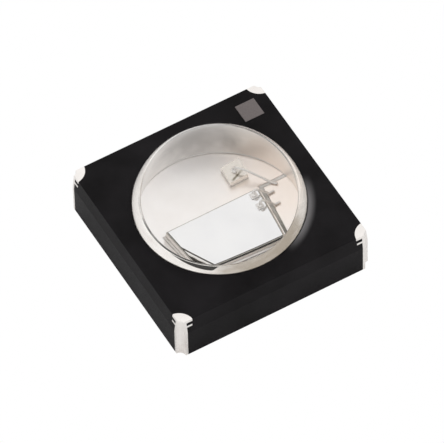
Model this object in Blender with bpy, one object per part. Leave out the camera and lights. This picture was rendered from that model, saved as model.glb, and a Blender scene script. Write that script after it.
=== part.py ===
"""Ultraviolet LED: a square black surface-mount package with a clear domed lens.

The origin is on the underside, below the dome's axis. +Z is the way the light
leaves, and +X runs from the cathode end to the anode end.
"""
import math

import bmesh
import bpy
from mathutils import Matrix, Vector

MM = 0.001

# Moulded housing
BODY_SIDE = 3.75 * MM
BODY_HEIGHT = 0.93 * MM
LEAN_HEIGHT = 0.31 * MM
LEAN_INSET = 0.035 * MM
EDGE_ROUND = 0.02 * MM

# Gap kept between pieces that touch
FIT = 0.005 * MM

# Domed lens
DOME_RADIUS = 0.40 * BODY_SIDE
DOME_HEIGHT = 1.21 * MM

# Lead frame: plates in the floor of the bowl, with soldering lands below them
PLATE_THICKNESS = 0.14 * MM
LAND_THICKNESS = 0.12 * MM
PLATE_WIDTH = 0.64 * BODY_SIDE
PLATE_END_MARGIN = 0.175 * MM
LEDGE = 0.06 * MM
GAP_WIDTH = 0.04 * MM
GAP_TO_CHIP = 0.01 * MM
STEP_FROM_CHIP = 0.03 * MM
OUTER_LAND_LENGTH = 0.68 * MM
LAND_SPACING = 0.25 * MM

# Reflector: a steep wall that bends into a wide cone, with a flat rim; adhesive under it
RIM_WIDTH = 0.04 * MM
CONE_WIDTH = 0.425 * MM
CONE_HEIGHT = 0.29 * MM
WALL_WIDTH = 0.105 * MM
BEND_RADIUS = 0.06 * MM
CUP_RADIUS = DOME_RADIUS - RIM_WIDTH - CONE_WIDTH - WALL_WIDTH
ADHESIVE_THICKNESS = 0.02 * MM

# Emitter chip and its bond pads, which keep their shares of the cup
CHIP_LENGTH = 1.27 * CUP_RADIUS
CHIP_WIDTH = 0.828 * CUP_RADIUS
CHIP_THICKNESS = 0.085 * MM
CHIP_Y = -0.156 * CUP_RADIUS
STREET_WIDTH = 0.015 * MM
STREET_DEPTH = 0.012 * MM
ATTACH_THICKNESS = 0.015 * MM
ATTACH_FILLET = 0.02 * MM
PAD_SIDE = 0.08 * MM
PAD_THICKNESS = 0.008 * MM
PAD_MARGIN = 0.02 * MM
PAD_SPACING = 0.16 * MM

# Protection diode
DIODE_SIDE = 0.215 * CUP_RADIUS
DIODE_FROM_END = 0.01 * CUP_RADIUS
DIODE_THICKNESS = 0.06 * MM
DIODE_TO_CHIP = 0.22 * CUP_RADIUS

# Bond wires
WIRE_DIAMETER = 0.025 * MM
BALL_DIAMETER = 0.06 * MM
BALL_HEIGHT = 0.02 * MM
BALL_SHOULDER = 0.7
WEDGE_LENGTH = 0.06 * MM
WIRE_LANDING = 0.08 * CUP_RADIUS
CHIP_WIRE_DRIFT = 0.01 * CUP_RADIUS
DIODE_WIRE_LANDING = 0.14 * CUP_RADIUS
DIODE_WIRE_TO_STEP = 0.04 * CUP_RADIUS
LOOP_HEIGHT = 0.08 * MM

# Corner terminals: quarter barrels with a rim on top and a collar below it.
# They are turned past the quarter, by this many degrees in all, and then trimmed.
BARREL_INNER = 0.120 * MM
BARREL_WALL = 0.045 * MM
RIM_RADIUS = 0.28 * MM
RIM_THICKNESS = 0.06 * MM
LIP_ROUND = 0.035 * MM
COLLAR_RADIUS = 0.27 * MM
COLLAR_THICKNESS = 0.04 * MM
COLLAR_DROP = 0.07 * MM
TERMINAL_SWEEP = 130
CORNERS = (
    ("corner_terminal_left", -1, 1),
    ("corner_terminal_back", 1, 1),
    ("corner_terminal_right", 1, -1),
    ("corner_terminal_front", -1, -1),
)

# Polarity mark
MARK_SIDE = 0.37 * MM
MARK_FROM_SIDE = 0.27 * MM
MARK_DEPTH = 0.02 * MM

# Fineness of the round forms
ROUND_STEPS = 72
DOME_STEPS = 16
BEND_STEPS = 6
CORNER_STEPS = 14
WIRE_STEPS = 18
WIRE_SIDES = 8
EDGE_STEPS = 4
LIP_STEPS = 5
WELD = 0.0001 * MM
OVERRUN = 0.2 * MM

# Places worked out from the sizes above
HALF = BODY_SIDE / 2
FLOOR_Z = LAND_THICKNESS + PLATE_THICKNESS
CHIP_BASE_Z = FLOOR_Z + ATTACH_THICKNESS + 2 * FIT
CHIP_TOP_Z = CHIP_BASE_Z + CHIP_THICKNESS
CHIP_RIGHT = CHIP_LENGTH / 2
CHIP_FAR = CHIP_Y + CHIP_WIDTH / 2
GAP_LEFT = CHIP_RIGHT + ATTACH_FILLET + GAP_TO_CHIP
GAP_RIGHT = GAP_LEFT + GAP_WIDTH
PLATE_END = HALF - PLATE_END_MARGIN
STEP_LOW = CHIP_FAR + STEP_FROM_CHIP
STEP_HIGH = STEP_LOW + GAP_WIDTH
STEP_LEFT = math.sqrt(CUP_RADIUS ** 2 - STEP_HIGH ** 2)
STEP_RIGHT = STEP_LEFT + GAP_WIDTH
DIODE_X = CHIP_RIGHT - DIODE_FROM_END - DIODE_SIDE / 2
DIODE_Y = CHIP_FAR + DIODE_TO_CHIP + DIODE_SIDE / 2
DIODE_TOP_Z = FLOOR_Z + ATTACH_THICKNESS + 2 * FIT + DIODE_THICKNESS


def clear_scene():
    """Removes every object, so that the model stands alone in the file."""
    for thing in list(bpy.data.objects):
        bpy.data.objects.remove(thing, do_unlink=True)


def linear(code):
    """The linear colour of an sRGB hex code."""
    shares = [int(code[i:i + 2], 16) / 255 for i in (1, 3, 5)]
    return [s / 12.92 if s <= 0.04045 else ((s + 0.055) / 1.055) ** 2.4 for s in shares]


def make_material(name, code, metallic, roughness, transmission=0.0, ior=1.5):
    """A material with one Principled BSDF."""
    material = bpy.data.materials.new(name)
    material.use_nodes = True
    shader = material.node_tree.nodes["Principled BSDF"]
    shader.inputs["Base Color"].default_value = (*linear(code), 1.0)
    shader.inputs["Metallic"].default_value = metallic
    shader.inputs["Roughness"].default_value = roughness
    shader.inputs["Transmission Weight"].default_value = transmission
    shader.inputs["IOR"].default_value = ior
    return material


def add_object(name, bm, material=None):
    """Turns a bmesh into an object, with its faces pointing out."""
    bmesh.ops.recalc_face_normals(bm, faces=bm.faces)
    mesh = bpy.data.meshes.new(name)
    bm.to_mesh(mesh)
    bm.free()
    thing = bpy.data.objects.new(name, mesh)
    bpy.context.scene.collection.objects.link(thing)
    if material:
        mesh.materials.append(material)
    return thing


def smooth(thing, angle=35):
    """Shades a round piece smooth, with its real edges kept sharp."""
    thing.data.shade_smooth()
    thing.data.set_sharp_from_angle(angle=math.radians(angle))
    return thing


def combine(target, tool, operation="DIFFERENCE"):
    """Cuts, trims or joins the target with a tool that is itself left out."""
    modifier = target.modifiers.new(tool.name, "BOOLEAN")
    modifier.object = tool
    modifier.operation = operation
    modifier.solver = "EXACT"
    tool.hide_render = True
    tool.display_type = "WIRE"


def stack(bm, sections):
    """Raises one closed outline through its sections, each a list of corners."""
    base = bm.faces.new([bm.verts.new(corner) for corner in sections[0]])
    face = base
    for section in sections[1:]:
        raised = bmesh.ops.extrude_face_region(bm, geom=[face])["geom"]
        if face is not base:
            bmesh.ops.delete(bm, geom=[face], context="FACES_ONLY")
        face = next(item for item in raised if isinstance(item, bmesh.types.BMFace))
        for corner, vert in zip(section, face.verts):
            vert.co = corner
    return bm


def rectangle(x_low, x_high, y_low, y_high, z):
    """The corners of a level rectangle, anticlockwise from above."""
    return [(x_low, y_low, z), (x_high, y_low, z), (x_high, y_high, z), (x_low, y_high, z)]


def block(bm, x_span, y_span, z_span, grow=0.0):
    """An upright block, grown on every side where it is a cutter."""
    (x_low, x_high), (y_low, y_high), (z_low, z_high) = (
        (low - grow, high + grow) for low, high in (x_span, y_span, z_span))
    return stack(bm, [rectangle(x_low, x_high, y_low, y_high, z) for z in (z_low, z_high)])


def span(centre, size):
    """The two ends of a size about its centre."""
    return centre - size / 2, centre + size / 2


def turned(profile, steps, start=0.0, sweep=2 * math.pi):
    """A solid turned about Z from a closed profile of (radius, height) points."""
    bm = bmesh.new()
    heading = Matrix.Rotation(start, 3, "Z")
    verts = [bm.verts.new(heading @ Vector((radius, 0, z))) for radius, z in profile]
    full = math.isclose(sweep, 2 * math.pi)
    edges = [bm.edges.new((a, b)) for a, b in zip(verts, verts[1:] + verts[:1])]
    spun = bmesh.ops.spin(bm, geom=verts + edges, axis=(0, 0, 1), angle=sweep, steps=steps)
    if not full:
        last = [item for item in spun["geom_last"] if isinstance(item, bmesh.types.BMEdge)]
        bmesh.ops.contextual_create(bm, geom=edges)
        bmesh.ops.contextual_create(bm, geom=last)
    bmesh.ops.remove_doubles(bm, verts=bm.verts, dist=WELD)
    bmesh.ops.dissolve_degenerate(bm, dist=WELD, edges=bm.edges)
    loose = [edge for edge in bm.edges if not edge.link_faces]
    bmesh.ops.delete(bm, geom=loose, context="EDGES")
    return bm


def arc(centre, radius, first, last, steps):
    """Points of an arc in the profile plane, from one angle in degrees to another."""
    turn = [math.radians(first + (last - first) * i / steps) for i in range(steps + 1)]
    return [(centre[0] + radius * math.cos(t), centre[1] + radius * math.sin(t)) for t in turn]


def body_form():
    """The housing's outer form: upright walls that lean in above, with a rounded top edge."""
    sections = [(HALF, 0.0), (HALF, BODY_HEIGHT - LEAN_HEIGHT)]
    edge = arc((HALF - LEAN_INSET - EDGE_ROUND, BODY_HEIGHT - EDGE_ROUND), EDGE_ROUND, 0, 90, EDGE_STEPS)
    bm = bmesh.new()
    return stack(bm, [rectangle(-half, half, -half, half, z) for half, z in sections + edge])


def add_housing(material):
    """The moulded body with its bowl seat, lead windows, corner bites and mark recess."""
    housing = add_object("housing", body_form(), material)
    top = BODY_HEIGHT + OVERRUN
    seat = DOME_RADIUS + FIT
    bore = [(0, FLOOR_Z), (seat, FLOOR_Z), (seat, top), (0, top)]
    combine(housing, add_object("bowl_seat_cutter", turned(bore, ROUND_STEPS)))
    for name, window in lead_windows().items():
        combine(housing, add_object(f"{name}_window_cutter", window))
    for name, x, y in CORNERS:
        cutter = add_object(f"{name}_cutter", turned(terminal_seat(), 4 * CORNER_STEPS))
        cutter.location = (x * HALF, y * HALF, 0)
        combine(housing, cutter)
    recess = add_object("mark_cutter", block(bmesh.new(), *mark_spans(OVERRUN), grow=FIT))
    combine(housing, recess)
    return smooth(housing)


def mark_spans(height):
    """Where the polarity mark lies, raised above the top face by a height."""
    side = span(HALF - MARK_FROM_SIDE - MARK_SIDE / 2, MARK_SIDE)
    return side, side, (BODY_HEIGHT - MARK_DEPTH, BODY_HEIGHT + height)


def add_polarity_mark(material):
    """The grey square let into the top face at the back corner."""
    return add_object("polarity_mark", block(bmesh.new(), *mark_spans(0)), material)


def terminal_profile():
    """The section of a corner terminal, as (radius from the corner, height)."""
    outer = BARREL_INNER + BARREL_WALL
    rim_base = BODY_HEIGHT - RIM_THICKNESS
    collar_top = rim_base - COLLAR_DROP
    collar_base = collar_top - COLLAR_THICKNESS
    lip = arc((BARREL_INNER + LIP_ROUND, BODY_HEIGHT - LIP_ROUND), LIP_ROUND, 90, 180, LIP_STEPS)
    stem = [(BARREL_INNER, 0), (outer, 0), (outer, collar_base)]
    collar = [(COLLAR_RADIUS, collar_base), (COLLAR_RADIUS, collar_top), (outer, collar_top)]
    rim = [(outer, rim_base), (RIM_RADIUS, rim_base), (RIM_RADIUS, BODY_HEIGHT)]
    return stem + collar + rim + lip


def terminal_seat():
    """The section of the bite that a terminal sits in, down to the corner's own line."""
    outer = BARREL_INNER + BARREL_WALL + FIT
    rim_base = BODY_HEIGHT - RIM_THICKNESS - FIT
    collar_top = rim_base + 2 * FIT - COLLAR_DROP
    collar_base = collar_top - COLLAR_THICKNESS - 2 * FIT
    top = BODY_HEIGHT + OVERRUN
    collar = COLLAR_RADIUS + FIT
    rim = RIM_RADIUS + FIT
    return [
        (0, -OVERRUN), (outer, -OVERRUN),
        (outer, collar_base), (collar, collar_base), (collar, collar_top), (outer, collar_top),
        (outer, rim_base), (rim, rim_base), (rim, top), (0, top)]


def add_corner_terminals(material):
    """Four plated quarter barrels, trimmed flush with the housing's sides."""
    form = add_object("terminal_trim_cutter", body_form())
    sweep = math.radians(TERMINAL_SWEEP)
    for name, x, y in CORNERS:
        inward = math.atan2(-y, -x)
        bm = turned(terminal_profile(), CORNER_STEPS, inward - sweep / 2, sweep)
        bmesh.ops.translate(bm, vec=(x * HALF, y * HALF, 0), verts=bm.verts)
        terminal = add_object(name, bm, material)
        combine(terminal, form, "INTERSECT")
        smooth(terminal)


def plate(name, z_span, grow=0.0):
    """A lead's plate. The slot between the plates steps aside at the chip's far edge."""
    side = PLATE_WIDTH / 2 + grow
    reach = PLATE_END + grow
    z_low, z_high = (z_span[0] - grow, z_span[1] + grow)
    if name == "cathode_lead":
        inner, outer, step = (GAP_LEFT + grow, STEP_LEFT + grow, STEP_HIGH - grow)
        stepped = [(inner, -side), (inner, step), (outer, step), (outer, side)]
        outline = [(-reach, -side)] + stepped + [(-reach, side)]
    else:
        inner, outer, step = (GAP_RIGHT - grow, STEP_RIGHT - grow, STEP_LOW + grow)
        stepped = [(outer, side), (outer, step), (inner, step), (inner, -side)]
        outline = stepped + [(reach, -side), (reach, side)]
    return stack(bmesh.new(), [[(x, y, z) for x, y in outline] for z in (z_low, z_high)])


def land_spans():
    """The x spans of each lead's soldering lands; the outer land of either lead is the same."""
    inner_end = PLATE_END - LEDGE - OUTER_LAND_LENGTH
    outer_end = PLATE_END - LEDGE
    thermal = (LAND_SPACING - inner_end, GAP_LEFT - LEDGE)
    return {"cathode_lead": [(-outer_end, -inner_end), thermal], "anode_lead": [(inner_end, outer_end)]}


def lead_windows():
    """What each plate and land takes out of the housing, grown by the fit."""
    windows = {}
    land_y = span(0, PLATE_WIDTH - 2 * LEDGE)
    reach = (-OVERRUN, LAND_THICKNESS + PLATE_THICKNESS / 2)
    for name, lands in land_spans().items():
        windows[name] = plate(name, (LAND_THICKNESS, FLOOR_Z), grow=FIT)
        for number, x_span in enumerate(lands, 1):
            windows[f"{name}_land_{number}"] = block(bmesh.new(), x_span, land_y, reach, grow=FIT)
    return windows


def add_leads(material):
    """The two leads, each a plate with its lands below it."""
    land_y = span(0, PLATE_WIDTH - 2 * LEDGE)
    reach = (0, LAND_THICKNESS + PLATE_THICKNESS / 2)
    for name, lands in land_spans().items():
        lead = add_object(name, plate(name, (LAND_THICKNESS, FLOOR_Z)), material)
        for number, x_span in enumerate(lands, 1):
            tool = add_object(f"{name}_land_{number}_cutter", block(bmesh.new(), x_span, land_y, reach))
            combine(lead, tool, "UNION")


def bowl_wall(gap=0.0):
    """The reflector's inner face, from its foot round the bend to its mouth, less a gap."""
    foot_z = FLOOR_Z + ADHESIVE_THICKNESS + 2 * FIT
    bend_z = BODY_HEIGHT - CONE_HEIGHT
    wall = math.atan2(bend_z - foot_z, WALL_WIDTH)
    cone = math.atan2(CONE_HEIGHT, CONE_WIDTH)
    run = BEND_RADIUS * math.tan((wall - cone) / 2)
    centre = (
        CUP_RADIUS + WALL_WIDTH - run * math.cos(wall) + BEND_RADIUS * math.sin(wall),
        bend_z - run * math.sin(wall) - BEND_RADIUS * math.cos(wall))
    turn = [90 + math.degrees(slope) for slope in (wall, cone)]
    bend = arc(centre, BEND_RADIUS + gap, *turn, BEND_STEPS)
    foot = (CUP_RADIUS - gap / math.sin(wall), foot_z)
    mouth = (DOME_RADIUS - RIM_WIDTH - gap * math.tan(cone / 2), BODY_HEIGHT + gap)
    return [foot] + bend + [mouth]


def add_reflector(material, adhesive_material):
    """The turned reflector ring and the ring of adhesive that insulates it from the leads."""
    wall = bowl_wall()
    outer = [(DOME_RADIUS, BODY_HEIGHT), (DOME_RADIUS, wall[0][1])]
    smooth(add_object("reflector", turned(wall + outer, ROUND_STEPS), material))
    low = FLOOR_Z + FIT
    high = low + ADHESIVE_THICKNESS
    ring = [(CUP_RADIUS, low), (DOME_RADIUS, low), (DOME_RADIUS, high), (CUP_RADIUS, high)]
    smooth(add_object("reflector_adhesive", turned(ring, ROUND_STEPS), adhesive_material))


def add_chip(chip_material, attach_material, pad_material):
    """The emitter with its sawn street, its solder and its two bond pads."""
    x_span = span(0, CHIP_LENGTH)
    y_span = span(CHIP_Y, CHIP_WIDTH)
    attach_z = (FLOOR_Z + FIT, FLOOR_Z + FIT + ATTACH_THICKNESS)
    fillet = stack(bmesh.new(), [
        rectangle(x_span[0] - run, x_span[1] + run, y_span[0] - run, y_span[1] + run, z)
        for run, z in zip((ATTACH_FILLET, 0), attach_z)])
    add_object("die_attach", fillet, attach_material)
    mesa = [
        (0, CHIP_BASE_Z), (0, CHIP_TOP_Z - STREET_DEPTH),
        (STREET_WIDTH, CHIP_TOP_Z - STREET_DEPTH), (STREET_WIDTH, CHIP_TOP_Z)]
    chip = stack(bmesh.new(), [
        rectangle(x_span[0] + inset, x_span[1] - inset, y_span[0] + inset, y_span[1] - inset, z)
        for inset, z in mesa])
    add_object("led_chip", chip, chip_material)
    for number, (x, y) in enumerate(pad_places(), 1):
        low = CHIP_TOP_Z + FIT
        pad = block(bmesh.new(), span(x, PAD_SIDE), span(y, PAD_SIDE), (low, low + PAD_THICKNESS))
        add_object(f"chip_bond_pad_{number}", pad, pad_material)


def pad_places():
    """The middles of the chip's two bond pads, at its far end of the anode side."""
    x = CHIP_RIGHT - STREET_WIDTH - PAD_MARGIN - PAD_SIDE / 2
    far = CHIP_FAR - STREET_WIDTH - PAD_MARGIN - PAD_SIDE / 2
    return (x, far), (x, far - PAD_SPACING)


def add_diode(diode_material, attach_material):
    """The protection diode beside the chip, on the cathode lead."""
    x_span = span(DIODE_X, DIODE_SIDE)
    y_span = span(DIODE_Y, DIODE_SIDE)
    low = FLOOR_Z + FIT
    attach = block(bmesh.new(), x_span, y_span, (low, low + ATTACH_THICKNESS))
    add_object("diode_attach", attach, attach_material)
    diode = block(bmesh.new(), x_span, y_span, (DIODE_TOP_Z - DIODE_THICKNESS, DIODE_TOP_Z))
    add_object("protection_diode", diode, diode_material)


def wire_route(start, end):
    """A wire's middle line and half thicknesses, from its ball bond to its wedge bond."""
    start = Vector(start)
    end = Vector(end)
    thin = WIRE_DIAMETER / 2
    ball = BALL_DIAMETER / 2
    heading = (end - start).xy.to_3d().normalized()
    neck = start + Vector((0, 0, BALL_HEIGHT))
    route = [(start, ball), (start.lerp(neck, BALL_SHOULDER), ball), (neck, thin)]
    wedge = end - WEDGE_LENGTH * heading
    for i in range(1, WIRE_STEPS):
        share = i / WIRE_STEPS
        ease = share * share
        point = neck.lerp(wedge, ease)
        point.z += 4 * LOOP_HEIGHT * share * (1 - share)
        route.append((point, thin))
    wedge.z = end.z
    return route + [(wedge, thin), (end, thin)]


def swept_wire(route, grow=0.0):
    """A round wire along its route, with a ring of corners at each point."""
    bm = bmesh.new()
    points = [point for point, _ in route]
    side = (points[-1] - points[0]).cross(Vector((0, 0, 1))).normalized()
    turns = [2 * math.pi * k / WIRE_SIDES for k in range(WIRE_SIDES)]
    rings = []
    for i, (point, radius) in enumerate(route):
        ahead = points[min(i + 1, len(points) - 1)]
        behind = points[max(i - 1, 0)]
        along = Vector((0, 0, 1)) if i < 2 else (ahead - behind).normalized()
        across = side.cross(along).normalized()
        spokes = [math.cos(t) * side + math.sin(t) * across for t in turns]
        rings.append([bm.verts.new(point + (radius + grow) * spoke) for spoke in spokes])
    for low, high in zip(rings, rings[1:]):
        for k in range(WIRE_SIDES):
            after = (k + 1) % WIRE_SIDES
            bm.faces.new((low[k], low[after], high[after], high[k]))
    bm.faces.new(reversed(rings[0]))
    bm.faces.new(rings[-1])
    return bm


def wire_routes():
    """Every bond wire: two from the chip and one from the diode, to the anode lead."""
    lead_top = FLOOR_Z + FIT + WIRE_DIAMETER / 2
    landing = GAP_RIGHT + WIRE_LANDING
    routes = {}
    for number, (x, y) in enumerate(pad_places(), 1):
        start = (x, y, CHIP_TOP_Z + 2 * FIT + PAD_THICKNESS)
        end = (landing, y + CHIP_WIRE_DRIFT, lead_top)
        routes[f"bond_wire_{number}"] = wire_route(start, end)
    start = (DIODE_X, DIODE_Y, DIODE_TOP_Z + FIT)
    end = (GAP_RIGHT + DIODE_WIRE_LANDING, STEP_LOW - DIODE_WIRE_TO_STEP, lead_top)
    routes["diode_wire"] = wire_route(start, end)
    return routes


def add_wires(material):
    """The silver-alloy bond wires."""
    for name, route in wire_routes().items():
        smooth(add_object(name, swept_wire(route), material))


def lens_rooms():
    """The rooms that the lens leaves round the chip, its pads, the diode and the wires."""
    side = 2 * ATTACH_FILLET
    chip_x = span(0, CHIP_LENGTH + side)
    chip_y = span(CHIP_Y, CHIP_WIDTH + side)
    rooms = {"chip": block(bmesh.new(), chip_x, chip_y, (0, CHIP_TOP_Z), grow=FIT)}
    diode_x = span(DIODE_X, DIODE_SIDE)
    diode_y = span(DIODE_Y, DIODE_SIDE)
    rooms["diode"] = block(bmesh.new(), diode_x, diode_y, (0, DIODE_TOP_Z), grow=FIT)
    pad_z = (CHIP_BASE_Z, CHIP_TOP_Z + FIT + PAD_THICKNESS)
    for number, (x, y) in enumerate(pad_places(), 1):
        rooms[f"pad_{number}"] = block(bmesh.new(), span(x, PAD_SIDE), span(y, PAD_SIDE), pad_z, grow=FIT)
    for name, route in wire_routes().items():
        rooms[name] = swept_wire(route, grow=FIT)
    return rooms


def add_lens(material):
    """The silicone lens: the dome above, and the fill of the bowl below it."""
    base = BODY_HEIGHT + FIT
    height = DOME_HEIGHT - FIT
    radius = (DOME_RADIUS ** 2 + height ** 2) / (2 * height)
    drop = radius - height
    rise = math.degrees(math.asin(drop / radius))
    dome = arc((0, base - drop), radius, rise, 90, DOME_STEPS)
    foot = [(0, FLOOR_Z + FIT), (CUP_RADIUS - FIT, FLOOR_Z + FIT)]
    lens = add_object("lens", turned(foot + bowl_wall(FIT) + dome, ROUND_STEPS), material)
    for name, room in lens_rooms().items():
        combine(lens, add_object(f"{name}_room_cutter", room))
    smooth(lens)


def build():
    """Builds the whole LED."""
    clear_scene()
    black = make_material("black_moulding", "#1E1C1D", 0.0, 0.42)
    silver = make_material("silver_plate", "#D9D4CD", 1.0, 0.22)
    terminal = make_material("terminal_plate", "#E4DED8", 1.0, 0.30)
    glue = make_material("epoxy_adhesive", "#D8D2CA", 0.0, 0.50)
    chip = make_material("chip", "#E4E7E9", 0.8, 0.15)
    solder = make_material("solder", "#A9A8A6", 1.0, 0.35)
    bond = make_material("bond_silver", "#D6D0C6", 1.0, 0.20)
    silicon = make_material("silicon", "#CFC3B2", 0.5, 0.30)
    silicone = make_material("clear_silicone", "#FFFFFF", 0.0, 0.02, 1.0, 1.41)
    print_grey = make_material("grey_mark", "#6E6766", 0.0, 0.55)
    add_housing(black)
    add_polarity_mark(print_grey)
    add_corner_terminals(terminal)
    add_leads(silver)
    add_reflector(silver, glue)
    add_chip(chip, solder, bond)
    add_diode(silicon, solder)
    add_wires(bond)
    add_lens(silicone)


build()
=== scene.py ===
"""Ultraviolet LED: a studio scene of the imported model, seen as in the photograph."""

import math

import bmesh
import bpy
from mathutils import Matrix, Vector


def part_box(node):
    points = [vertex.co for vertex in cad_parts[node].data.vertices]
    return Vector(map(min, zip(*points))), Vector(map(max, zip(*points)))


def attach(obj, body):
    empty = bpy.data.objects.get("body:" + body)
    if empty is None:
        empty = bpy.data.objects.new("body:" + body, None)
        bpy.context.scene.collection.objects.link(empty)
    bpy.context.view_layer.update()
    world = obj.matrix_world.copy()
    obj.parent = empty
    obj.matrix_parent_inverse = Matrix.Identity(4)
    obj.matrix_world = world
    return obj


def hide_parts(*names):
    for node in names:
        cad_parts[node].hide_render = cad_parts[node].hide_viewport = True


MM = 0.001

# Camera: where it stands round the object, in degrees, and how far beside the origin it aims
CAMERA_AZIMUTH = -28.96
CAMERA_ELEVATION = 54.32
CAMERA_ROLL = -1.48
CAMERA_DISTANCE = 132.0 * MM
CAMERA_LENS = 628.4
AIM_RIGHT = 0.0286 * MM
AIM_UP = 0.2182 * MM
CLIP_NEAR = 0.01
CLIP_FAR = 10.0

# Floor: half its side, and how far it lies below the lands
FLOOR_REACH = 400 * MM
FLOOR_DROP = 0.0005 * MM

# Reflector, as in the source of the part, but with its bend 0.14 mm higher and 0.025 mm further out
RIM_WIDTH = 0.04 * MM
CONE_WIDTH = 0.40 * MM
CONE_HEIGHT = 0.15 * MM
WALL_WIDTH = 0.13 * MM
BEND_RADIUS = 0.06 * MM

# Gap between the solids that touch, and how far the silicone reaches into what it wets
FIT = 0.005 * MM
SEAM = 0.004 * MM

# Fineness of the turned pieces
DOME_STEPS = 48
ROUND_STEPS = 144
BEND_STEPS = 16

# How near their points are welded, and the angle from which an edge stays sharp
WELD = 0.0001 * MM
SHARP = math.radians(30)

# Grain of each surface. That of the moulding's filler is about its real size. The others are finer
# in the real part than a picture of this size can show, and are drawn this coarse so that they show
FILLER_GRAIN = 0.02 * MM
CHIP_GRAIN = 0.01 * MM
SILICON_GRAIN = 0.02 * MM
PLATE_GRAIN = 0.03 * MM
INK_GRAIN = 0.03 * MM
ADHESIVE_GRAIN = 0.04 * MM

# Stains, clouds and waves, which are wider
STAIN = 0.35 * MM
BLACK_CLOUD = 0.9 * MM
CHIP_CLOUD = 0.5 * MM
BOWL_WAVE = 0.25 * MM
LENS_WAVE = 0.5 * MM

# Noise: its detail, and the values between which nearly all of it lies
NOISE_DETAIL = 3.0
NOISE_SPREAD = (0.3, 0.7)

# Soft patches: their full core, and the waves of their ragged edge, as shares of the reach
PATCH_CORE = 0.1
PATCH_WAVE = 0.3

# Tones of the silver: painted shade in grey at the far wall, cream at the right, painted shade in warm
# brown in the near ring
FAR_WALL_SHADE_PLACE = (0.26 * MM, 0.92 * MM, 0.62 * MM)
FAR_WALL_SHADE_REACH = 0.66 * MM
CREAM_PLACE = (0.95 * MM, 0.15 * MM, 0.45 * MM)
CREAM_REACH = 1.10 * MM
CREAM_SHARE = 0.9
NEAR_RING_SHADE_PLACE = (0.25 * MM, -1.22 * MM, 0.90 * MM)
NEAR_RING_SHADE_REACH = 1.90 * MM

# How the bowl's wall, below the bend, differs from its cone
SATIN_BLUR = 0.02 * MM
SATIN_ROUGHER = 0.22
SATIN_LESS_METALLIC = 0.42

# Painted shade along the bend: a crisp dark line at the left, and a soft one at the right
LEFT_PLACE = (-1.00 * MM, -0.30 * MM, 0.78 * MM)
LEFT_REACH = 1.15 * MM
LEFT_RISE = 0.012 * MM
LEFT_CORE = 0.012 * MM
LEFT_EDGE = 0.016 * MM
RIGHT_PLACE = (1.00 * MM, 0.40 * MM, 0.78 * MM)
RIGHT_REACH = 0.80 * MM
RIGHT_MOST = 0.8
RIGHT_RISE = -0.012 * MM
RIGHT_CORE = 0.010 * MM
RIGHT_EDGE = 0.035 * MM

# A wedge of painted shade above the left line: thin at one heading, thick at another, and ended soon past
# it
WEDGE_THIN = math.radians(-165)
WEDGE_THICK = math.radians(-126)
WEDGE_END = math.radians(-120)
WEDGE_RISE = 0.034 * MM
WEDGE_HEIGHT = 0.072 * MM
WEDGE_BLUR = 0.004 * MM

# Painted reflection of the lens on the moulding beside it: a sector of a ring, on the upper face alone
LENS_REFLECTION_HEADING = math.radians(-40)
LENS_REFLECTION_COSINE = 0.84
LENS_REFLECTION_NEAR = 1.49 * MM
LENS_REFLECTION_FAR = 1.66 * MM
LENS_REFLECTION_ABOVE = 0.90 * MM

# Film in the slot between the plates: a flat patch, with a paler one about the slot's step
FILM_FLATNESS = 5
FILM_PLACE = (0.64 * MM, 0.0, FILM_FLATNESS * 0.26 * MM)
FILM_REACH = 1.0 * MM
STEP_PLACE = (0.95 * MM, 0.33 * MM, 0.26 * MM)
STEP_REACH = 0.75 * MM
STEP_ABOVE = 0.15 * MM

# Dark band along the upper edge of the chip's sides, thinner on the left one
CHIP_EDGE_BAND = 0.045 * MM
CHIP_LEFT_BAND = 0.018 * MM
CHIP_LEFT_DEPTH = 0.002 * MM
CHIP_BAND_BLUR = 0.006 * MM

# Chip's faces: how far up a level one looks, and how near the summit the topmost lies
CHIP_LEVEL = 0.5
CHIP_TOPMOST = 0.001 * MM

# Painted shade across the chip's corner: where its dark line runs, and the pale border past that
CORNER_HEADING = math.radians(203)
CORNER_FROM_AXIS = 0.560 * MM
CORNER_BORDER = 0.048 * MM
CORNER_LINE = 0.009 * MM
CORNER_LINE_EDGE = 0.016 * MM
CORNER_JAG = 0.004 * MM
CORNER_JAG_SIZE = 0.1 * MM

# Dark stroke on the diode
STROKE_START = (0.415 * MM, 0.458 * MM, 0.345 * MM)
STROKE_HEADING = math.radians(23)
STROKE_LENGTH = 0.19 * MM
STROKE_FULL = 0.4 * STROKE_LENGTH
STROKE_WIDTH = 0.018 * MM
STROKE_CORE = 0.2 * STROKE_WIDTH

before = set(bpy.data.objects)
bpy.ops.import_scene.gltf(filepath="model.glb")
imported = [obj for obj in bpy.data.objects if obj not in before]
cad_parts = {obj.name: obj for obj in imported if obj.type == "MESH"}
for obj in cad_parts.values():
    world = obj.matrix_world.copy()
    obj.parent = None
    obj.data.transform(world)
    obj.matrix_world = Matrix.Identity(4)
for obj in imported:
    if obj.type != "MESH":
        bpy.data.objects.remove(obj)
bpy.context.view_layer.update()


def linear(code):
    """The linear colour of an sRGB hex code, with an alpha of one."""
    shares = [int(code[i:i + 2], 16) / 255 for i in (1, 3, 5)]
    bent = [s / 12.92 if s <= 0.04045 else ((s + 0.055) / 1.055) ** 2.4 for s in shares]
    return (*bent, 1.0)


def fill(node, inputs):
    """Fills or links a node's inputs, given by name or in order, and makes hex codes linear."""
    for key, value in inputs.items() if isinstance(inputs, dict) else enumerate(inputs):
        if isinstance(value, bpy.types.NodeSocket):
            node.id_data.links.new(value, node.inputs[key])
        else:
            node.inputs[key].default_value = linear(value) if isinstance(value, str) else value


def add_node(tree, kind, inputs=(), output=0, **settings):
    """Adds a node with its settings and its inputs, and gives one of its outputs."""
    node = tree.nodes.new("ShaderNode" + kind)
    for key, value in settings.items():
        setattr(node, key, value)
    fill(node, inputs)
    return node.outputs[output]


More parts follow.
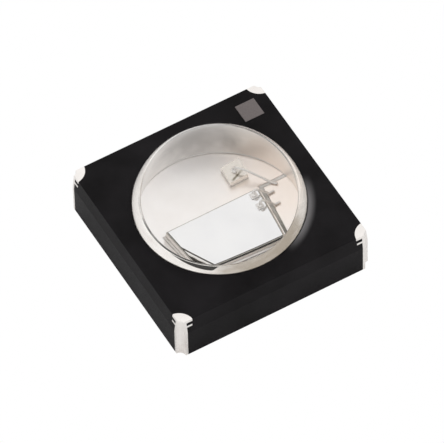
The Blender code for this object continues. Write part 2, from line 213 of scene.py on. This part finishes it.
def new_material(name):
    """A new material, with its node tree, its shader and its object coordinates."""
    material = bpy.data.materials.new(name)
    material.use_nodes = True
    tree = material.node_tree
    return material, tree, tree.nodes["Principled BSDF"], add_node(tree, "TexCoord", output="Object")


def uneven(tree, place, size, low, high):
    """A value that wanders between two others, in spots of about this size."""
    spots = add_node(tree, "TexNoise", {"Vector": place, "Scale": 1 / size, "Detail": NOISE_DETAIL})
    return add_node(tree, "MapRange", [spots, *NOISE_SPREAD, low, high])


def wavy(tree, place, size, height):
    """A surface that rises and falls by a height, in waves of about this size."""
    waves = add_node(tree, "TexNoise", {"Vector": place, "Scale": 1 / size, "Detail": NOISE_DETAIL})
    return add_node(tree, "Bump", {"Height": waves, "Distance": height, "Strength": 1.0})


def layered(tree, colour, *layers):
    """A colour with others laid over it, each by its own share."""
    for share, over in layers:
        values = {"Factor": share, "A": colour, "B": over}
        colour = add_node(tree, "Mix", values, "Result", data_type="RGBA")
    return colour


def mottled(tree, place, size, first, second):
    """A colour that wanders between two hex codes, in spots of about this size."""
    return layered(tree, first, (uneven(tree, place, size, 0.0, 1.0), second))


def patch(tree, place, centre, reach, most=1.0, ragged=0.1):
    """The share of a soft patch about a point, more or less ragged, and gone at its reach."""
    off = add_node(tree, "VectorMath", [place, centre], "Value", operation="DISTANCE")
    jag = uneven(tree, place, PATCH_WAVE * reach, -ragged * reach, ragged * reach)
    far = add_node(tree, "Math", [off, jag], operation="ADD")
    return add_node(
        tree, "MapRange", [far, PATCH_CORE * reach, reach, most, 0.0], interpolation_type="SMOOTHSTEP")


def soft_line(tree, value, middle, core, edge, most=1.0):
    """The share of a line where a value is at its middle: full to its core and gone at its edge."""
    off = add_node(tree, "Math", [value, middle], operation="SUBTRACT")
    far = add_node(tree, "Math", [off], operation="ABSOLUTE")
    return add_node(tree, "MapRange", [far, core, edge, most, 0.0], interpolation_type="SMOOTHSTEP")


def lens_reflection_share(tree, place):
    """The share of the painted reflection of the lens: a sector of a ring beside the lens, on the upper
    face alone.
    """
    flat = add_node(tree, "VectorMath", [place, (1, 1, 0)], operation="MULTIPLY")
    from_axis = add_node(tree, "VectorMath", [flat], "Value", operation="LENGTH")
    towards = (math.cos(LENS_REFLECTION_HEADING), math.sin(LENS_REFLECTION_HEADING), 0)
    ahead = add_node(tree, "VectorMath", [flat, towards], "Value", operation="DOT_PRODUCT")
    cosine = add_node(tree, "Math", [ahead, from_axis], operation="DIVIDE")
    height = add_node(tree, "SeparateXYZ", [place], "Z")
    upper = add_node(tree, "Math", [height, LENS_REFLECTION_ABOVE], operation="GREATER_THAN")
    ring = add_node(
        tree, "MapRange", [from_axis, LENS_REFLECTION_NEAR, LENS_REFLECTION_FAR, upper, 0.0], interpolation_type="SMOOTHSTEP")
    return add_node(
        tree, "MapRange", [cosine, 1.0, LENS_REFLECTION_COSINE, ring, 0.0], interpolation_type="SMOOTHSTEP")


def slot_film(tree, place):
    """The share of the film in the slot, and that of the paler film at the slot's step."""
    tall = add_node(tree, "VectorMath", [place, (1, 1, FILM_FLATNESS)], operation="MULTIPLY")
    height = add_node(tree, "SeparateXYZ", [place], "Z")
    in_slot = add_node(tree, "Math", [height, STEP_ABOVE], operation="GREATER_THAN")
    film = patch(tree, tall, FILM_PLACE, FILM_REACH, ragged=0.2)
    return film, patch(tree, place, STEP_PLACE, STEP_REACH, in_slot, ragged=0.2)


def black_moulding():
    """Black epoxy moulding compound, satin from its mould, with a painted reflection of the lens beside it
    and a film in the slot.
    """
    # Its filler breaks up what little shine it has, so the black looks soft and even
    material, tree, shader, place = new_material("black_epoxy_moulding_satin")
    film, paler_film = slot_film(tree, place)
    colour = layered(
        tree, mottled(tree, place, BLACK_CLOUD, "#0B090A", "#1B191B"),
        # The grey ring beside the lens is a painted reflection of the lens
        (lens_reflection_share(tree, place), "#7A7879"), (film, "#B4AFA3"), (paler_film, "#FAF7F3"))
    fill(shader, {
        "Base Color": colour, "Roughness": uneven(tree, place, FILLER_GRAIN, 0.42, 0.56),
        "Normal": wavy(tree, place, FILLER_GRAIN, 0.0015 * MM), "Specular IOR Level": 0.08})
    return material


def printed_mark():
    """Grey ink, printed: it dries matt, with a slight grain."""
    material, tree, shader, place = new_material("grey_mark_ink_matt")
    colour = mottled(tree, place, INK_GRAIN, "#6A6362", "#736C6B")
    fill(shader, {"Base Color": colour, "Roughness": 0.6, "Specular IOR Level": 0.2})
    return material


def plated_metal(name, colours, gloss, wave, height, metallic=1.0, far_wall_shade=0.0):
    """Bright metal with a faint stain, uneven gloss and a soft wave, with painted shade at the far wall
    where asked.
    """
    material, tree, shader, place = new_material(name)
    colour = mottled(tree, place, STAIN, *colours)
    # Over the cream tint, the grey patch at the far wall is painted shade
    if far_wall_shade:
        colour = layered(
            tree, colour, (patch(tree, place, CREAM_PLACE, CREAM_REACH, CREAM_SHARE), "#FFF2E7"),
            (patch(tree, place, FAR_WALL_SHADE_PLACE, FAR_WALL_SHADE_REACH, far_wall_shade, ragged=0.05), "#9C9896"))
    fill(shader, {
        "Base Color": colour, "Metallic": metallic, "Roughness": uneven(tree, place, PLATE_GRAIN, *gloss),
        "Normal": wavy(tree, place, wave, height)})
    return material


def terminal_plating():
    """Silver plate of the corner terminals: its coarse grain gives a soft, satin shine."""
    return plated_metal(
        "terminal_plating_satin", ("#F8F4F0", "#EFEAE6"), gloss=(0.26, 0.36),
        wave=0.12 * MM, height=0.003 * MM)


def lead_frame_plating():
    """Silver plate of the two leads: even and pale, with a breath of painted shade near the bowl's far
    wall.
    """
    return plated_metal(
        "silver_plated_lead_frame", ("#FFFCFA", "#F9F5F2"), gloss=(0.285, 0.30),
        wave=0.3 * MM, height=0.001 * MM, far_wall_shade=0.25)


def drawn_wire():
    """Drawn silver alloy of the wires, which the bond pads match: pale and almost matt."""
    return plated_metal(
        "silver_alloy_wire_drawn", ("#FFFDFA", "#FAF6F2"), gloss=(0.42, 0.50),
        wave=0.05 * MM, height=0.001 * MM, metallic=0.4)


def reflowed_solder():
    """Reflowed solder under the chip and the diode: greyer than silver, with a satin skin."""
    return plated_metal(
        "solder_attach_satin", ("#EBE7E3", "#DDD8D3"), gloss=(0.3, 0.42),
        wave=0.05 * MM, height=0.003 * MM)


def cream_adhesive():
    """Cured epoxy of the insulating ring: cream and matt."""
    material, tree, shader, place = new_material("cream_epoxy_adhesive")
    colour = mottled(tree, place, ADHESIVE_GRAIN, "#FAF7F3", "#FFFDFA")
    fill(shader, {"Base Color": colour, "Roughness": 0.5})
    return material


def painted_shade_wedge(tree, place, above_bend):
    """The share of a wedge of painted shade above the bend, which grows from one heading to another and
    ends there.
    """
    x, y = (add_node(tree, "SeparateXYZ", [place], axis) for axis in "XY")
    heading = add_node(tree, "Math", [y, x], operation="ARCTAN2")
    tall = WEDGE_HEIGHT
    for gone in (WEDGE_THIN, WEDGE_END):
        tall = add_node(
            tree, "MapRange", [heading, WEDGE_THICK, gone, tall, 0.0], interpolation_type="SMOOTHSTEP")
    above = add_node(tree, "Math", [above_bend, WEDGE_RISE], operation="SUBTRACT")
    past_top = add_node(tree, "Math", [above, tall], operation="SUBTRACT")
    begun = add_node(tree, "Math", [above, 0.0], operation="GREATER_THAN")
    return add_node(
        tree, "MapRange", [past_top, -WEDGE_BLUR, 0.0, begun, 0.0], interpolation_type="SMOOTHSTEP")


def bend_painted_shade(tree, place, above_bend):
    """The share of all the painted shade at the bend: a crisp line, a soft line and a wedge."""
    left = patch(tree, place, LEFT_PLACE, LEFT_REACH, ragged=0.2)
    crisp = soft_line(tree, above_bend, LEFT_RISE, LEFT_CORE, LEFT_EDGE, left)
    right = patch(tree, place, RIGHT_PLACE, RIGHT_REACH, RIGHT_MOST)
    soft = soft_line(tree, above_bend, RIGHT_RISE, RIGHT_CORE, RIGHT_EDGE, right)
    lines = add_node(tree, "Math", [crisp, soft], operation="MAXIMUM")
    return add_node(tree, "Math", [lines, painted_shade_wedge(tree, place, above_bend)], operation="MAXIMUM")


def silver_bowl():
    """Silver plate of the turned ring, with painted shade at its far wall, in its near ring and along its
    bend.
    """
    # The cone above the bend is bright as a mirror, and the wall below it is satin and paler
    material, tree, shader, place = new_material("silver_plated_bowl")
    bend_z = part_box("reflector")[1][2] - CONE_HEIGHT
    height = add_node(tree, "SeparateXYZ", [place], "Z")
    above_bend = add_node(tree, "Math", [height, bend_z], operation="SUBTRACT")
    colour = layered(
        tree, mottled(tree, place, STAIN, "#FFFDFA", "#F7F3EF"),
        # The warm brown patch in the near ring is painted shade
        (patch(tree, place, NEAR_RING_SHADE_PLACE, NEAR_RING_SHADE_REACH, ragged=0.2), "#ADA395"),
        (patch(tree, place, CREAM_PLACE, CREAM_REACH, CREAM_SHARE), "#FFF2E7"),
        (patch(tree, place, FAR_WALL_SHADE_PLACE, FAR_WALL_SHADE_REACH), "#A8A4A1"),
        # The dark lines and wedge along the bend are painted shade
        (bend_painted_shade(tree, place, above_bend), "#1C1812"))
    wall = add_node(
        tree, "MapRange", [above_bend, -SATIN_BLUR, SATIN_BLUR, 1.0, 0.0], interpolation_type="SMOOTHSTEP")
    gloss = uneven(tree, place, PLATE_GRAIN, 0.10, 0.12)
    fill(shader, {
        "Base Color": colour, "Normal": wavy(tree, place, BOWL_WAVE, 0.002 * MM),
        "Metallic": add_node(tree, "Math", [wall, -SATIN_LESS_METALLIC, 1.0], operation="MULTIPLY_ADD"),
        "Roughness": add_node(tree, "Math", [wall, SATIN_ROUGHER, gloss], operation="MULTIPLY_ADD")})
    return material


def chip_surface():
    """Etched top of the emitter: white, almost mirror-bright, with painted shade across one corner."""
    material, tree, shader, place = new_material("led_chip_roughened_top")
    outward = (math.cos(CORNER_HEADING), math.sin(CORNER_HEADING), 0)
    out = add_node(tree, "VectorMath", [place, outward], "Value", operation="DOT_PRODUCT")
    depth = add_node(tree, "Math", [out, CORNER_FROM_AXIS], operation="SUBTRACT")
    border = add_node(
        tree, "MapRange", [depth, CORNER_BORDER, 0.0, 1.0, 0.0], interpolation_type="SMOOTHSTEP")
    line = soft_line(tree, depth, 0.0, CORNER_LINE, CORNER_LINE_EDGE)
    jag = uneven(tree, place, CORNER_JAG_SIZE, -CORNER_JAG, CORNER_JAG)
    jagged = add_node(tree, "Math", [depth, jag], operation="ADD")
    full, gone = CORNER_BORDER + 2 * CORNER_JAG, CORNER_BORDER - CORNER_JAG
    # The dark line and the dark corner past it are painted shade
    corner_shade = add_node(tree, "MapRange", [jagged, full, gone, 1.0, 0.0], interpolation_type="SMOOTHSTEP")
    colour = layered(
        tree, mottled(tree, place, CHIP_CLOUD, "#F4F4F4", "#EFEFF0"),
        (border, "#D9D4CE"), (line, "#4A453C"), (corner_shade, "#2B261E"))
    fill(shader, {
        "Base Color": colour, "Metallic": 0.95, "Roughness": uneven(tree, place, CHIP_GRAIN, 0.06, 0.09)})
    return material


def chip_side():
    """Sawn side of the emitter: dark along its upper edge and silver grey below."""
    material, tree, shader, place = new_material("led_chip_sawn_side")
    low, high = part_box("led_chip")
    x, z = (add_node(tree, "SeparateXYZ", [place], axis) for axis in "XZ")
    leftmost = add_node(tree, "Math", [x, low[0] + CHIP_LEFT_DEPTH], operation="LESS_THAN")
    sunk = CHIP_LEFT_BAND - CHIP_EDGE_BAND
    level = add_node(tree, "Math", [leftmost, sunk, z], operation="MULTIPLY_ADD")
    foot = high[2] - CHIP_EDGE_BAND
    band = add_node(
        tree, "MapRange", [level, foot + CHIP_BAND_BLUR, foot - CHIP_BAND_BLUR, 1.0, 0.0],
        interpolation_type="SMOOTHSTEP")
    colour = layered(tree, mottled(tree, place, CHIP_GRAIN, "#EAE5E0", "#F2EEEA"), (band, "#2B2826"))
    fill(shader, {"Base Color": colour, "Metallic": 0.8, "Roughness": 0.2})
    return material


def chip_street():
    """Sawn ledge round the emitter's top: grey and matt from the blade."""
    material, tree, shader, place = new_material("led_chip_sawn_ledge")
    fill(shader, {"Base Color": mottled(tree, place, CHIP_GRAIN, "#C2BDB2", "#CFCAC0"), "Roughness": 0.5})
    return material


def diode_dark_stroke(tree, place):
    """The share of a short stroke, which starts at a point and fades along its heading."""
    off = add_node(tree, "VectorMath", [place, STROKE_START], operation="SUBTRACT")
    ahead = (math.cos(STROKE_HEADING), math.sin(STROKE_HEADING), 0)
    aside = (-math.sin(STROKE_HEADING), math.cos(STROKE_HEADING), 0)
    along = add_node(tree, "VectorMath", [off, ahead], "Value", operation="DOT_PRODUCT")
    across = add_node(tree, "VectorMath", [off, aside], "Value", operation="DOT_PRODUCT")
    share = 1.0
    for full, gone in ((STROKE_WIDTH, -STROKE_WIDTH), (STROKE_FULL, STROKE_LENGTH)):
        share = add_node(tree, "MapRange", [along, full, gone, share, 0.0], interpolation_type="SMOOTHSTEP")
    return soft_line(tree, across, 0.0, STROKE_CORE, STROKE_WIDTH, share)


def polished_silicon():
    """Polished silicon of the diode: cream from the bright floor round it, with a dark stroke."""
    material, tree, shader, place = new_material("silicon_polished")
    plain = mottled(tree, place, SILICON_GRAIN, "#F3EDE5", "#EBE4DA")
    colour = layered(tree, plain, (diode_dark_stroke(tree, place), "#8A8270"))
    fill(shader, {"Base Color": colour, "Metallic": 0.6, "Roughness": 0.12})
    return material


def clear_silicone():
    """Moulded silicone of the lens: water-clear and glossy, with the faintest wave."""
    material, tree, shader, place = new_material("clear_silicone_moulded")
    fill(shader, {
        "Base Color": "#FDFCFB", "Roughness": 0.0, "IOR": 1.41, "Transmission Weight": 1.0,
        "Normal": wavy(tree, place, LENS_WAVE, 0.0006 * MM)})
    return material


def arc(centre, radius, first, last, steps):
    """Points of an arc in the profile plane, from one angle in degrees to another."""
    turn = [math.radians(first + (last - first) * i / steps) for i in range(steps + 1)]
    return [(centre[0] + radius * math.cos(t), centre[1] + radius * math.sin(t)) for t in turn]


def turned(name, profile, material):
    """A smooth piece turned about Z from a closed profile of (radius, height) points."""
    bm = bmesh.new()
    verts = [bm.verts.new((radius, 0, z)) for radius, z in profile]
    edges = [bm.edges.new((a, b)) for a, b in zip(verts, verts[1:] + verts[:1])]
    bmesh.ops.spin(bm, geom=verts + edges, axis=(0, 0, 1), angle=2 * math.pi, steps=ROUND_STEPS)
    bmesh.ops.remove_doubles(bm, verts=bm.verts, dist=WELD)
    bmesh.ops.dissolve_degenerate(bm, dist=WELD, edges=bm.edges)
    loose = [edge for edge in bm.edges if not edge.link_faces]
    bmesh.ops.delete(bm, geom=loose, context="EDGES")
    bmesh.ops.recalc_face_normals(bm, faces=bm.faces)
    mesh = bpy.data.meshes.new(name)
    bm.to_mesh(mesh)
    bm.free()
    mesh.materials.append(material)
    mesh.shade_smooth()
    mesh.set_sharp_from_angle(angle=SHARP)
    piece = bpy.data.objects.new(name, mesh)
    bpy.context.scene.collection.objects.link(piece)
    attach(piece, "root")
    return piece


def bowl_wall(reach=0.0):
    """The reflector's inner face from foot to mouth, moved into the metal by a hair where asked."""
    low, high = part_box("reflector")
    mouth = high[0] - RIM_WIDTH
    foot = mouth - CONE_WIDTH - WALL_WIDTH
    bend_z = high[2] - CONE_HEIGHT
    wall = math.atan2(bend_z - low[2], WALL_WIDTH)
    cone = math.atan2(CONE_HEIGHT, CONE_WIDTH)
    run = BEND_RADIUS * math.tan((wall - cone) / 2)
    centre = (
        foot + WALL_WIDTH - run * math.cos(wall) + BEND_RADIUS * math.sin(wall),
        bend_z - run * math.sin(wall) - BEND_RADIUS * math.cos(wall))
    turn = [90 + math.degrees(slope) for slope in (wall, cone)]
    bend = arc(centre, BEND_RADIUS - reach, *turn, BEND_STEPS)
    edge = (mouth + reach * math.tan(cone / 2), high[2] - reach)
    return [(foot + reach / math.sin(wall), low[2])] + bend + [edge]


def add_reflector(material):
    """The reflector ring, finer than the solid so that its mirror shows no facets."""
    low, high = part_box("reflector")
    outer = [(high[0], high[2]), (high[0], low[2])]
    ring = turned("reflector_ring", bowl_wall() + outer, material)
    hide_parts("reflector")


def add_lens(material):
    """The silicone, which wets the bowl, so it reaches a hair into what it touches."""
    low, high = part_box("lens")
    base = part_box("reflector")[1][2]
    radius = high[0]
    height = high[2] - base
    ball = (radius ** 2 + height ** 2) / (2 * height)
    drop = ball - height
    dome = arc((0, base - drop), ball, math.degrees(math.asin(drop / ball)), 90, DOME_STEPS)
    wall = bowl_wall(SEAM)
    floor_z = low[2] - FIT - SEAM
    under = [(0, floor_z), (wall[0][0], floor_z)]
    flange = [(radius, base - SEAM)]
    lens = turned("silicone_lens", under + wall + flange + dome, material)
    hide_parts("lens")


def dress(names, *materials):
    """Gives CAD nodes their materials."""
    for name in names:
        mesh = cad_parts[name].data
        mesh.materials.clear()
        for material in materials:
            mesh.materials.append(material)


def dress_chip(top, side, street):
    """Gives the chip a bright top, sawn sides and a sawn ledge between them."""
    dress(["led_chip"], top, side, street)
    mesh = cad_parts["led_chip"].data
    summit = max(vert.co.z for vert in mesh.vertices)
    for face in mesh.polygons:
        level = face.normal.z > CHIP_LEVEL
        high = face.center.z > summit - CHIP_TOPMOST
        face.material_index = 0 if level and high else 2 if level else 1


def camera_axes():
    """The camera's right, up and back directions."""
    around, above, roll = (math.radians(a) for a in (CAMERA_AZIMUTH, CAMERA_ELEVATION, CAMERA_ROLL))
    away = math.cos(above)
    back = Vector((math.sin(around) * away, -math.cos(around) * away, math.sin(above)))
    right = Vector((math.cos(around), math.sin(around), 0))
    up = back.cross(right)
    return math.cos(roll) * right + math.sin(roll) * up, math.cos(roll) * up - math.sin(roll) * right, back


def add_camera():
    """A distant camera with a long lens, so the picture is almost without perspective."""
    right, up, back = camera_axes()
    data = bpy.data.cameras.new("camera")
    data.lens = CAMERA_LENS
    data.clip_start = CLIP_NEAR
    data.clip_end = CLIP_FAR
    camera = bpy.data.objects.new("camera", data)
    place = AIM_RIGHT * right + AIM_UP * up + CAMERA_DISTANCE * back
    turn = Matrix((right, up, back)).transposed().to_4x4()
    camera.matrix_world = Matrix.Translation(place) @ turn
    bpy.context.scene.collection.objects.link(camera)
    bpy.context.scene.camera = camera


def floor_paint():
    """Pale matt paint, which the camera itself sees as plain white."""
    material, tree, shader, _ = new_material("white_studio_floor")
    fill(shader, {"Base Color": "#F2F2F2", "Roughness": 0.9})
    to_camera = add_node(tree, "LightPath", output="Is Camera Ray")
    white = add_node(tree, "Emission", {"Color": "#FFFFFF", "Strength": 1.0})
    seen = add_node(tree, "MixShader", [to_camera, shader.outputs[0], white])
    fill(tree.nodes["Material Output"], {"Surface": seen})
    return material


def add_floor():
    """A wide floor just below the lands."""
    bm = bmesh.new()
    corners = ((-1, -1), (1, -1), (1, 1), (-1, 1))
    bm.faces.new([bm.verts.new((x * FLOOR_REACH, y * FLOOR_REACH, -FLOOR_DROP)) for x, y in corners])
    mesh = bpy.data.meshes.new("floor")
    bm.to_mesh(mesh)
    bm.free()
    mesh.materials.append(floor_paint())
    floor = bpy.data.objects.new("floor", mesh)
    bpy.context.scene.collection.objects.link(floor)


def light_world():
    """An even white surround, which is all the light that there is."""
    world = bpy.data.worlds.new("studio")
    bpy.context.scene.world = world
    world.use_nodes = True
    fill(world.node_tree.nodes["Background"], {"Color": "#FFFFFF", "Strength": 1.0})


def build():
    """Dresses the model and sets the studio."""
    add_camera()
    dress(["housing"], black_moulding())
    dress(["polarity_mark"], printed_mark())
    dress([f"corner_terminal_{side}" for side in ("left", "back", "right", "front")], terminal_plating())
    dress(["cathode_lead", "anode_lead"], lead_frame_plating())
    dress(["reflector_adhesive"], cream_adhesive())
    dress(["die_attach", "diode_attach"], reflowed_solder())
    dress(["chip_bond_pad_1", "chip_bond_pad_2", "bond_wire_1", "bond_wire_2", "diode_wire"], drawn_wire())
    dress(["protection_diode"], polished_silicon())
    dress_chip(chip_surface(), chip_side(), chip_street())
    add_reflector(silver_bowl())
    add_lens(clear_silicone())
    add_floor()
    light_world()
    bpy.context.scene.view_settings.view_transform = "Standard"


build()
